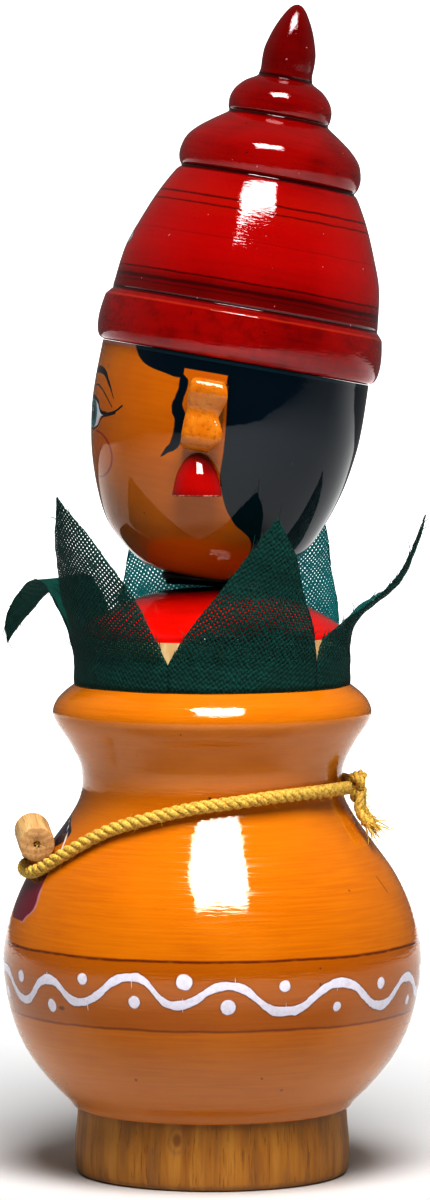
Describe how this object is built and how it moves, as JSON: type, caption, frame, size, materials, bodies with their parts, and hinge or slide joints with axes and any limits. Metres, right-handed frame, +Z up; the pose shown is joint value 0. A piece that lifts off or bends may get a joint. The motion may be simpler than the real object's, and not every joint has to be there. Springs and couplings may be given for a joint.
{
  "type": "wooden nodding pot doll",
  "caption": "Turned and lacquered wooden doll: a pot body on a bare foot, a domed shoulder with a leafy cloth collar, and a spring-mounted head in a tall tiered hat.",
  "frame": {"origin": "centre of the flat underside of the foot", "axes": "+Z up, -Y the way the face looks, +X the doll's left side"},
  "size_m": [0.0734, 0.0761, 0.2044],
  "materials": {
    "amber_lacquer": "glossy amber lac on turned wood, bare foot",
    "red_lacquer": "glossy red lac on turned wood",
    "hat_lacquer": "glossy red lac with dark green bands",
    "skin_lacquer": "glossy ochre lac with painted features",
    "bare_wood": "bare sanded wood",
    "green_cloth": "stiffened open-weave cloth",
    "rope_fibre": "twisted yellow rope",
    "yarn_fibre": "yellow yarn",
    "dark_steel": "black spring wire",
    "pin_brass": "thin brass pin"
  },
  "bodies": {
    "pot": {"pot": "amber_lacquer", "shoulder_plug": "red_lacquer", "leaf_collar": "green_cloth"},
    "neck_spring": {"neck_spring": "dark_steel"},
    "neck_plug": {"neck_plug": "bare_wood"},
    "head": {"head": "skin_lacquer", "hat": "hat_lacquer", "left_ear": "skin_lacquer", "right_ear": "skin_lacquer", "left_earring_pin": "pin_brass", "right_earring_pin": "pin_brass"},
    "left_earring": {"left_earring": "red_lacquer"},
    "right_earring": {"right_earring": "red_lacquer"},
    "rope": {"neck_rope": "rope_fibre", "rope_knot": "rope_fibre", "rope_tails": "rope_fibre", "dowel_yarn": "yarn_fibre"},
    "dowel": {"dowel": "bare_wood"}
  },
  "joints": [
    {"name": "head_sway", "type": "hinge", "parent": "pot", "child": "neck_spring", "pos_m": [0, -0.0026, 0.1038], "axis": [0, 1, 0], "range_deg": [-3, 8], "stiffness_Nm_per_rad": 0.1, "springref_deg": 0.74, "deforming": ["neck_spring"]},
    {"name": "head_nod", "type": "hinge", "parent": "neck_spring", "child": "neck_plug", "pos_m": [0, -0.0026, 0.1038], "axis": [1, 0, 0], "range_deg": [-3, 15], "stiffness_Nm_per_rad": 0.1, "springref_deg": 2.29},
    {"name": "head_turn", "type": "hinge", "parent": "neck_plug", "child": "head", "pos_m": [0, -0.0026, 0.1038], "axis": [-0.0551, 0.165, 0.9847], "range_deg": [-20, 20], "stiffness_Nm_per_rad": 0.05},
    {"name": "left_earring_swing", "type": "hinge", "parent": "head", "child": "left_earring", "pos_m": [0.02169, 0.00131, 0.12599], "axis": [0.9984, 0, 0.0558], "range_deg": [-20, 20]},
    {"name": "right_earring_swing", "type": "hinge", "parent": "head", "child": "right_earring", "pos_m": [-0.02403, 0.00131, 0.12343], "axis": [0.9984, 0, 0.0558], "range_deg": [-20, 20]},
    {"name": "rope_turn", "type": "hinge", "parent": "pot", "child": "rope", "pos_m": [0, 0, 0.061], "axis": [0, 0, 1], "continuous": true},
    {"name": "dowel_spin", "type": "hinge", "parent": "rope", "child": "dowel", "pos_m": [0.0106, -0.0296, 0.0595], "axis": [0.9551, 0.2739, -0.1132], "continuous": true}
  ]
}
